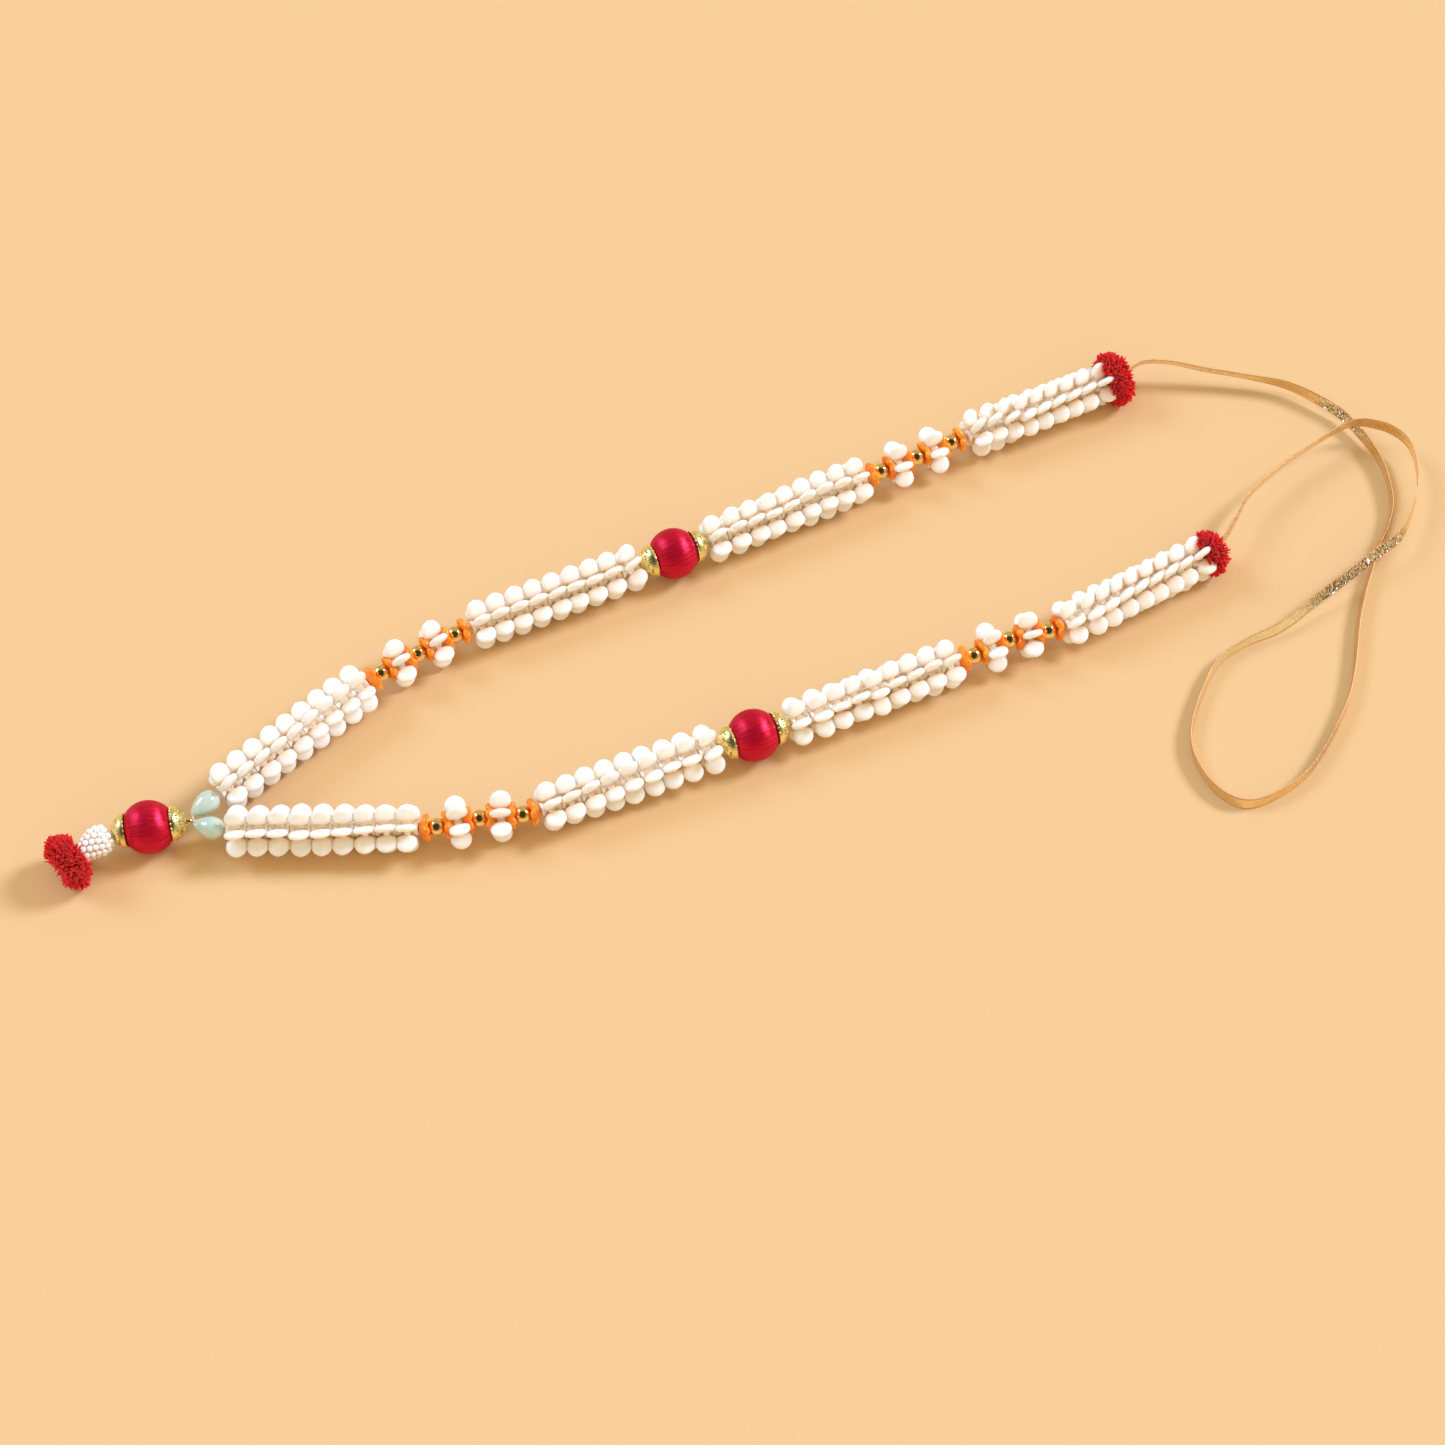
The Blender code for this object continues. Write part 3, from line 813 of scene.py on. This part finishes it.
def model_orange_flower():
    """The neck ends at X = 6.3 and the lobes lean back over a bead at X = 0."""
    put_down()
    bpy.ops.mesh.primitive_uv_sphere_add(segments=20, ring_count=12, radius=1, location=LOBE_PLACE)
    edit()
    stretch(*LOBE_SIZE, about=LOBE_PLACE)
    bpy.ops.transform.rotate(value=math.radians(LOBE_LEAN), orient_axis="Y", center_override=LOBE_PLACE)
    spin_copies(6)
    along_thread = (0, math.radians(90), 0)
    bpy.ops.mesh.primitive_cone_add(
        vertices=24, radius1=3.0, radius2=2.0, depth=2.2, location=(5.2, 0, 0), rotation=along_thread
    )
    apply("REMESH", mode="VOXEL", voxel_size=MELT)
    apply("SMOOTH", factor=0.5, iterations=3)
    return lift_off("orange_flower", 180)


orange_flower = model_orange_flower()
sleeve = model_turned("sleeve", [(-1.2, 0.5), (-1.2, 1.0), (1.2, 1.0), (1.2, 0.5)], 14)
print("orange flower faces", len(orange_flower.data.polygons))

# %% [markdown]
# The orange plastic is clearer than the white, so it glows where light comes through it and deepens where
# its lobes overlap. Real transmission would need many bounces through every lobe. Light that scatters under
# the skin looks alike at this size, with red travelling furthest.

# %% Orange plastic
orange = Finish("orange plastic")
blush = orange.noise(orange.place(), 180, 2)
orange.colour(orange.ramp(blush, (0.3, (1.0, 0.21, 0.010)), (0.7, (1.0, 0.38, 0.028))))
orange.roughen(orange.noise(orange.place(), 1200, 2), 0.14, 0.26)
orange.bump(orange.noise(orange.place(), 500, 2), 0.08, 0.0002)
orange.set(
    Subsurface_Weight=0.8, Subsurface_Radius=(1.0, 0.45, 0.12), Subsurface_Scale=0.003, IOR=1.46,
    Coat_Weight=0.35, Coat_Roughness=0.08,
)

# %% [markdown]
# ## The gold beads
# A polished bead is a ball with a drilled hole. A Boolean could drill it, but it leaves long thin faces
# that show in a mirror finish. So the ball's ends are cut flat, and the cut loops are drawn in and bridged
# through the bore. The finish is nearly a mirror, so most of its colour comes from what lies round it.

# %% One gold bead
# The ball is cut where it is this many bores wide, and the cut edge is drawn in and sunk.
CUT = 1.35
DRAW_IN = 0.74
SINK = 0.08


def model_bead(radius, bore, segments, rings):
    put_down()
    bpy.ops.mesh.primitive_uv_sphere_add(
        segments=segments, ring_count=rings, radius=radius, rotation=(0, math.radians(90), 0)
    )
    edit()
    flat = math.sqrt(radius**2 - (bore * CUT) ** 2)
    for side in (1, -1):
        bpy.ops.mesh.select_all(action="SELECT")
        bpy.ops.mesh.bisect(plane_co=(side * flat, 0, 0), plane_no=(side, 0, 0), clear_outer=True)
    for side in (1, -1):
        pick("EDGE", lambda middle, edge: edge.is_boundary and middle.x * side > 0)
        bpy.ops.mesh.extrude_edges_move(TRANSFORM_OT_translate={"value": (0, 0, 0)})
        stretch(y=DRAW_IN, z=DRAW_IN, about=(side * flat, 0, 0))
        move(x=-SINK * side)
    bridge_bore()
    return lift_off("bead", 50)


GOLD_RADIUS = 3.3
GOLD_BORE = 0.85
KNOT_RADIUS = 1.2
KNOT_BORE = 0.42
gold_bead = model_bead(GOLD_RADIUS, GOLD_BORE, 36, 20)
knot_bead = model_bead(KNOT_RADIUS, KNOT_BORE, 18, 10)

gold = Finish("polished gold")
tone = gold.noise(gold.place(), 500, 2)
gold.colour(gold.ramp(tone, (0.3, (0.98, 0.72, 0.30)), (0.7, (1.0, 0.80, 0.40))))
gold.roughen(gold.noise(gold.place(), 2500, 2), 0.03, 0.12)
gold.set(Metallic=1.0)
print("gold bead faces", len(gold_bead.data.polygons))

# %% String the beads and the orange flowers
random.seed(11)
SLEEVE_PLACE = 4.6
ORANGE_SPIN = 12
about_face = Matrix.Rotation(math.pi, 4, "Z")
for side in ("upper", "lower"):
    for number, k in enumerate(SPACERS):
        headings = HEADINGS[side][k : k + 4]
        orange_copies = []
        for n in range(3):
            corner = corners[side][k + n + 1]
            mean = (headings[n] + headings[n + 1]) / 2
            label = 3 * number + n + 1
            string(
                f"{side}_polished_bead_{label}", gold.material,
                [f"{side}_gold_bead_{label}"], [(gold_bead, placed(corner, mean))],
            )
            for heading, flip in ((headings[n], about_face), (headings[n + 1], Matrix())):
                here = placed(corner, heading) @ flip
                spin = random.uniform(-ORANGE_SPIN, ORANGE_SPIN)
                orange_copies.append((orange_flower, here @ turned(spin)))
                orange_copies.append((sleeve, here @ Matrix.Translation((SLEEVE_PLACE, 0, 0))))
        string(
            f"{side}_orange_petals_{number + 1}", orange.material,
            [f"{side}_orange_flowers_{number + 1}"], orange_copies,
        )
print(len(pieces), "pieces so far")

# %% [markdown]
# ## The silk balls
# A plastic ball is wound from hole to hole with crimson silk. Thousands of thin curves could be wound round
# it, but they would be too many faces for so small a thing. Some meridians of a fine ball stand proud here
# and some lie deeper. The finer threads are in the material, along the ball's own UV map, whose first axis
# runs round the ball.

# %% One silk ball
BALL_RADIUS = 9.76
MERIDIANS = 120
# What share of the meridians swells or sinks, and by how much.
RIDGES = [(0.3, 1.003), (0.25, 0.997), (0.08, 1.006)]


def model_silk_ball():
    put_down()
    bpy.ops.mesh.primitive_uv_sphere_add(
        segments=MERIDIANS, ring_count=22, radius=BALL_RADIUS, rotation=(0, math.radians(90), 0)
    )
    edit()
    winding = random.Random(4)
    for share, swell in RIDGES:
        chosen = {number for number in range(MERIDIANS) if winding.random() < share}

        def on_thread(middle, point):
            angle = math.atan2(middle.z, middle.y) / (2 * math.pi) * MERIDIANS
            return abs(middle.x) < BALL_RADIUS * 0.98 and round(angle) % MERIDIANS in chosen

        pick("VERT", on_thread)
        stretch(y=swell, z=swell)
    return lift_off("silk_ball", 180)


silk_ball = model_silk_ball()
print("silk ball faces", len(silk_ball.data.polygons))

# %% [markdown]
# Silk shines in bands across its threads, because each thread is a tiny polished rod. The shader's
# anisotropy stretches the gloss round the ball, and a streaky noise along the threads breaks it into fine
# lines.

# %% Crimson silk
silk = Finish("crimson silk")
threads = silk.noise(silk.place(uv=True, scale=(1, 0.012, 1)), 170, 3, 0.75)
silk.colour(
    silk.ramp(threads, (0.3, (0.38, 0.001, 0.012)), (0.5, (0.62, 0.004, 0.030)), (0.72, (0.85, 0.03, 0.09)))
)
silk.roughen(threads, 0.24, 0.38)
silk.bump(threads, 0.42, 0.0002)
silk.set(Metallic=0.55, Anisotropic=0.85, Specular_IOR_Level=0.6)
silk.shader.inputs["Specular Tint"].default_value = (1.0, 0.45, 0.65, 1)
around = silk.node("Tangent", direction_type="RADIAL", axis="X")
silk.link(around.outputs["Tangent"], silk.shader.inputs["Tangent"])

# %% [markdown]
# ## The gilt caps
# A stamped filigree cap sits on each end of a ball: a pierced dome, rings of tiny grains and a collar at
# the thread. The dome is turned from a profile. Its windows could be cut with Booleans, but faces that are
# inset and deleted leave a cleaner sheet, which is then given a wall. The gilding is rougher than the
# beads' polish, and a fine bump stands for the stamped grain.

# %% One cap
CAP_SIDES = 32
CAP_PROFILE = [
    (8.3, 6.0), (9.0, 6.15), (10.1, 5.85), (11.3, 5.1), (12.35, 3.95), (13.1, 2.6), (13.5, 1.6), (13.8, 1.4),
]
WINDOW_PITCH = 45
# Place along the thread, radius of the ring, radius of a grain, how many, and its share of the crown.
GRAIN_RINGS = [
    (8.4, 6.05, 0.46, 22, 0), (10.7, 5.6, 0.26, 28, 0.25),
    (12.8, 3.2, 0.32, 12, 0.5), (13.75, 1.35, 0.3, 10, 1),
]


def model_cap(crown):
    """Crown raises the top, a quarter of it for each ring above the second."""
    turn([(x + max(0, k - 1) * crown / 4, radius) for k, (x, radius) in enumerate(CAP_PROFILE)], CAP_SIDES)

    def window(middle, face):
        """Windows lie in two bands that take turns round the dome."""
        outer = math.degrees(math.atan2(middle.z, middle.y)) % WINDOW_PITCH < WINDOW_PITCH / 2
        return 5.2 < middle.yz.length < 5.6 if outer else 4.2 < middle.yz.length < 4.7

    pick("FACE", window)
    bpy.ops.mesh.inset(thickness=0.25, depth=0, use_individual=True)
    bpy.ops.mesh.delete(type="FACE")
    point_outwards()
    apply("SOLIDIFY", thickness=0.35, offset=0)
    return lift_off("cap", 50)


def model_grains(x, radius, size, count):
    """A ring of tiny grains."""
    put_down()
    bpy.ops.mesh.primitive_ico_sphere_add(subdivisions=2, radius=size, location=(x, 0, radius))
    edit()
    stretch(x=0.8, about=(x, 0, radius))
    spin_copies(count)
    return lift_off("grains", 180)


def cap_set(crown):
    parts = [model_cap(crown)]
    for x, radius, size, count, share in GRAIN_RINGS:
        parts.append(model_grains(x + crown * share, radius, size, count))
    return parts


full_cap = cap_set(0)
short_cap = cap_set(-0.5)
gilt = Finish("gilt filigree")
lustre = gilt.noise(gilt.place(), 700, 3)
gilt.colour(gilt.ramp(lustre, (0.3, (1.0, 0.80, 0.28)), (0.7, (1.0, 0.93, 0.50))))
gilt.roughen(lustre, 0.22, 0.36)
gilt.bump(gilt.noise(gilt.place(), 2600, 3), 0.5, 0.0002)
gilt.set(Metallic=1.0)
print("cap faces", sum(len(part.data.polygons) for part in full_cap))

# %% String the balls and their caps


def string_ball(side, middle, heading, cap_parts):
    here = placed(middle, heading)
    string(f"{side}_silk_ball", silk.material, [f"{side}_ball"], [(silk_ball, here)])
    for end, flip in (("inner", about_face), ("outer", Matrix())):
        copies = [(part, here @ flip) for part in cap_parts]
        string(f"{side}_gilt_cap_{end}", gilt.material, [f"{side}_ball_cap_{end}"], copies)


for side in ("upper", "lower"):
    middle = (corners[side][BALL] + corners[side][BALL + 1]) / 2
    string_ball(side, middle, HEADINGS[side][BALL], full_cap)
PENDANT_HEADING = 166
TO_PENDANT_BALL = 14.3
TO_KNOT = -0.3
string_ball("pendant", ahead(APEX, PENDANT_HEADING, TO_PENDANT_BALL), PENDANT_HEADING, short_cap)
string(
    "knot_gold_bead", gold.material, ["knot_bead"],
    [(knot_bead, placed(ahead(APEX, PENDANT_HEADING, TO_KNOT), PENDANT_HEADING))],
)

# %% [markdown]
# ## The pearls
# Two drops of glass coated with pale green pearl essence hang together at the point of the V. A stretched
# ball would be too plump at its tip, so a drop is turned from a profile, ring by ring. A clear coat over a
# soft pale base stands for the thin layers of essence.

# %% The pearls
PEARL_PROFILE = [
    (0.0, 0.55), (0.1, 1.0), (0.5, 1.4), (1.2, 1.9), (2.2, 2.5), (3.3, 3.1), (4.7, 3.7),
    (6.2, 4.1), (7.7, 4.2), (9.1, 3.9), (10.3, 3.2), (11.2, 2.1), (11.65, 1.1), (11.7, 0.55),
]
pearl = model_turned("pearl", PEARL_PROFILE, 28)
nacre = Finish("pale pearl")
swirl = nacre.noise(nacre.place(), 160, 3)
nacre.colour(nacre.ramp(swirl, (0.3, (0.47, 0.63, 0.56)), (0.7, (0.63, 0.73, 0.66))))
nacre.roughen(nacre.noise(nacre.place(), 900, 2), 0.16, 0.28)
nacre.set(
    Specular_IOR_Level=0.7, Coat_Weight=0.8, Coat_Roughness=0.06, Subsurface_Weight=0.2,
    Subsurface_Radius=(1.0, 1.0, 0.8), Subsurface_Scale=0.002,
)
for side in ("upper", "lower"):
    here = placed(corners[side][0], HEADINGS[side][0])
    string(f"{side}_pearl_drop", nacre.material, [f"{side}_pearl"], [(pearl, here)])
print("pearl faces", len(pearl.data.polygons))

# %% [markdown]
# ## The seed beads
# Rows of small white beads are wound round the pendant below its ball, wide at the cap and narrow at the
# pompom. An Array would need one count for all rows, so a loop places each bead. Each row is turned half a
# bead from the last, which gives the slanting lines. A little scattering keeps their white from looking
# like chalk.

# %% Seed beads
TAIL_HEADING = 197
TO_BEND = 27.75
TO_CLUSTER = 0.9
BEND = ahead(APEX, PENDANT_HEADING, TO_BEND)
CLUSTER_START = ahead(BEND, TAIL_HEADING, TO_CLUSTER)
CLUSTER_LENGTH = 14.2
ENVELOPE = [4.0, 5.7, 5.9, 5.2, 4.5, 3.8, 2.8]
SEED_SIZE = 1.22


def model_seed():
    put_down()
    bpy.ops.mesh.primitive_uv_sphere_add(segments=10, ring_count=6, radius=SEED_SIZE)
    edit()
    stretch(z=0.8)
    pick("VERT", lambda middle, point: abs(middle.z) > SEED_SIZE * 0.75)
    stretch(z=0.7)
    return lift_off("seed", 180)


seed = model_seed()
here = placed(CLUSTER_START, TAIL_HEADING)
seeds = []
ROWS = 7
for row in range(ROWS):
    along = SEED_SIZE + (CLUSTER_LENGTH - 2 * SEED_SIZE) * row / (ROWS - 1)
    at = along / CLUSTER_LENGTH * (len(ENVELOPE) - 1)
    below = min(int(at), len(ENVELOPE) - 2)
    reach = ENVELOPE[below] + (ENVELOPE[below + 1] - ENVELOPE[below]) * (at - below) - SEED_SIZE * 0.7
    count = max(5, round(2 * math.pi * reach / (2.1 * SEED_SIZE)))
    for n in range(count):
        spin = 360 / count * (n + row / 2)
        out = turned(spin) @ Matrix.Translation((0, 0, reach))
        seeds.append((seed, here @ Matrix.Translation((along, 0, 0)) @ out))
CORE_PROFILE = [(0.4, 0.6), (0.5, 2.6), (2.5, 4.6), (5.0, 4.5), (9.0, 3.4), (13.2, 2.0), (13.6, 0.6)]
core = model_turned("core", CORE_PROFILE, 16)
seeds.append((core, here))
porcelain = Finish("white seed bead")
fleck = porcelain.noise(porcelain.place(), 600, 2)
porcelain.colour(porcelain.ramp(fleck, (0.3, (0.97, 0.92, 0.87)), (0.7, (0.99, 0.97, 0.94))))
porcelain.roughen(fleck, 0.16, 0.28)
porcelain.set(
    Subsurface_Weight=0.2, Subsurface_Radius=(1.0, 0.75, 0.5), Subsurface_Scale=0.002, Coat_Weight=0.3
)
string("seed_bead_rows", porcelain.material, ["seed_cluster"], seeds)
print(len(seeds) - 1, "seed beads")

# %% [markdown]
# ## The pompoms
# A flat pompom of cut red wool ends each strand and the pendant. Its tufts are pinches of yarn that splay
# from the thread. Hair would look finer, but it isn't a mesh that can be handed on. So one tuft is drawn up
# in three stages and modelled with three bends, and about a thousand copies go round each thread at random
# turns and lengths.

# %% One tuft
TUFT_LENGTH = 6.5
TUFT_RADIUS = 0.68
# How much wider or narrower each stage ends.
TUFT_STAGES = [1.15, 0.95, 0.5]


def model_tuft(bend):
    """Stands on Z. Bend leans each stage a little more."""
    put_down()
    bpy.ops.mesh.primitive_circle_add(vertices=5, radius=TUFT_RADIUS, fill_type="NGON")
    edit()
    height = 0
    for stage, scale in enumerate(TUFT_STAGES, 1):
        extrude(x=bend * stage, z=TUFT_LENGTH / 3)
        height += TUFT_LENGTH / 3
        stretch(x=scale, y=scale * 0.8, about=(bend * stage * (stage + 1) / 2, 0, height))
    return lift_off("tuft", 30)


tufts = [model_tuft(bend) for bend in (0.0, 0.18, 0.32)]

# %% [markdown]
# Wool is matt, and its loose fibres catch the light round the edges. Fine hair could show that, but the
# shader's sheen does it on plain tufts, and scattering keeps the red warm in the shade. A fine bump breaks
# up each tuft.

# %% Wool
wool = Finish("red wool")
fluff = wool.noise(wool.place(), 420, 4, 0.7)
wool.colour(
    wool.ramp(fluff, (0.25, (0.75, 0.006, 0.010)), (0.5, (0.95, 0.014, 0.020)), (0.8, (1.0, 0.04, 0.045)))
)
wool.bump(wool.noise(wool.place(), 3500, 4, 0.8), 0.8, 0.0004)
wool.set(
    Roughness=0.9, Sheen_Weight=0.6, Sheen_Roughness=0.5, Specular_IOR_Level=0.1, Subsurface_Weight=0.8,
    Subsurface_Radius=(1.0, 0.06, 0.06), Subsurface_Scale=0.003,
)
wool.shader.inputs["Sheen Tint"].default_value = (1.0, 0.3, 0.3, 1)

# %% String the pompoms
POMPOM_REACH = {"upper": 12.2, "lower": 9.9, "pendant": 11.7}
TUFTS_A_MILLIMETRE = 100
SPLAY = 40
ROOTS_HALF_WIDTH = 1.5
# Every tuft tips by this share of its splay, and one at full splay is cut this much shorter.
TIPPING = 0.55
SHORTENING = 0.25
CUT_LENGTHS = (0.86, 1.0)
TUFT_WIDTHS = (0.8, 1.15)
TAIL_LENGTH = 18.2
HEART_PROFILE = [(-2.4, 0.5), (-2.2, 3.5), (-1.4, 6.4), (1.4, 6.4), (2.2, 3.5), (2.4, 0.5)]
heart = model_turned("heart", HEART_PROFILE, 20)


def string_pompom(side, point, heading, draw):
    """Tufts that point down are only as long as the thread is high, because the table presses them flat."""
    full_reach = POMPOM_REACH[side]
    tumble = random.Random(draw)
    here = placed(point, heading)
    copies = []
    for _ in range(round(TUFTS_A_MILLIMETRE * full_reach)):
        splay = tumble.uniform(-SPLAY, SPLAY)
        spin = tumble.uniform(0, 360)
        room = AXIS_HEIGHT / max(0.1, -math.cos(math.radians(spin)))
        reach = min(full_reach, room) * tumble.uniform(*CUT_LENGTHS)
        reach *= 1 - SHORTENING * abs(splay) / SPLAY
        width = tumble.uniform(*TUFT_WIDTHS)
        copies.append((
            tumble.choice(tufts),
            here
            @ Matrix.Translation((splay / SPLAY * ROOTS_HALF_WIDTH, 0, 0))
            @ turned(spin)
            @ Matrix.Rotation(math.radians(splay * TIPPING), 4, "Y")
            @ Matrix.Translation((0, 0, reach - TUFT_LENGTH))
            @ Matrix.Rotation(tumble.uniform(0, 6.28), 4, "Z")
            @ Matrix.Diagonal((width, width, 1, 1)),
        ))
    copies.append((heart, here))
    string(f"{side}_wool_pompom", wool.material, [f"{side}_pompom"], copies)
    print(side, "pompom of", len(copies) - 1, "tufts")


string_pompom("upper", corners["upper"][-1], HEADINGS["upper"][-1], 20)
string_pompom("lower", corners["lower"][-1], HEADINGS["lower"][-1], 21)
TAIL_TIP = ahead(BEND, TAIL_HEADING, TAIL_LENGTH)
string_pompom("pendant", TAIL_TIP, TAIL_HEADING, 23)

# %% [markdown]
# ## The threads
# White sewing thread runs through every bead and shows only in the gaps. A row of cylinders would gape
# where it turns, so it is one thin round curve made into a mesh. A slanting wave in its finish stands for
# the twist.

# %% Threads
yarn = Finish("white thread")
twist = yarn.node("TexWave", wave_type="BANDS", bands_direction="DIAGONAL")
twist.inputs["Scale"].default_value = 900
yarn.link(yarn.place(), twist.inputs["Vector"])
yarn.colour(yarn.ramp(twist.outputs["Fac"], (0.2, (0.72, 0.70, 0.66)), (0.8, (0.88, 0.87, 0.84))))
yarn.bump(twist.outputs["Fac"], 0.6, 0.0002)
yarn.set(Roughness=0.8)
THREAD_RADIUS = 0.0003


def string_thread(name, solid, points):
    put_down()
    line = bpy.data.curves.new(name, "CURVE")
    line.dimensions = "3D"
    line.bevel_depth = THREAD_RADIUS
    line.bevel_resolution = 2
    line.use_fill_caps = True
    spline = line.splines.new("POLY")
    spline.points.add(len(points) - 1)
    for place, point in zip(spline.points, points):
        place.co = (*(SHRINK @ point), 1)
    piece = bpy.data.objects.new(name, line)
    bpy.context.scene.collection.objects.link(piece)
    bpy.context.view_layer.objects.active = piece
    piece.select_set(True)
    bpy.ops.object.convert(target="MESH")
    piece = bpy.context.active_object
    piece.name = piece.data.name = name
    piece.data.materials.clear()
    piece.data.materials.append(yarn.material)
    put_down()
    register(piece, [solid])


pendant_corners = [ahead(TAIL_TIP, TAIL_HEADING, 1.5), BEND, ahead(APEX, PENDANT_HEADING, -1.9)]
for side in ("upper", "lower"):
    strand = [*corners[side][:-1], ahead(corners[side][-1], HEADINGS[side][-1], 1.5)]
    if side == "upper":
        strand = pendant_corners + strand
    string_thread(f"{side}_sewing_thread", f"{side}_thread", strand)
print(len(pieces), "pieces so far")

# %% [markdown]
# ## Clear the bench
# The models that were copied are taken away, so only strung pieces are left.

# %% Clear up and count
for model in [
    petal, hub, short_hub, wide_hub, *flowers.values(), orange_flower, sleeve, gold_bead, knot_bead,
    silk_ball, *full_cap, *short_cap, pearl, seed, core, *tufts, heart,
]:
    bpy.data.objects.remove(model)

triangles = sum(len(face.vertices) - 2 for piece in pieces for face in piece.data.polygons)
print(len(pieces), "pieces,", triangles, "triangles")
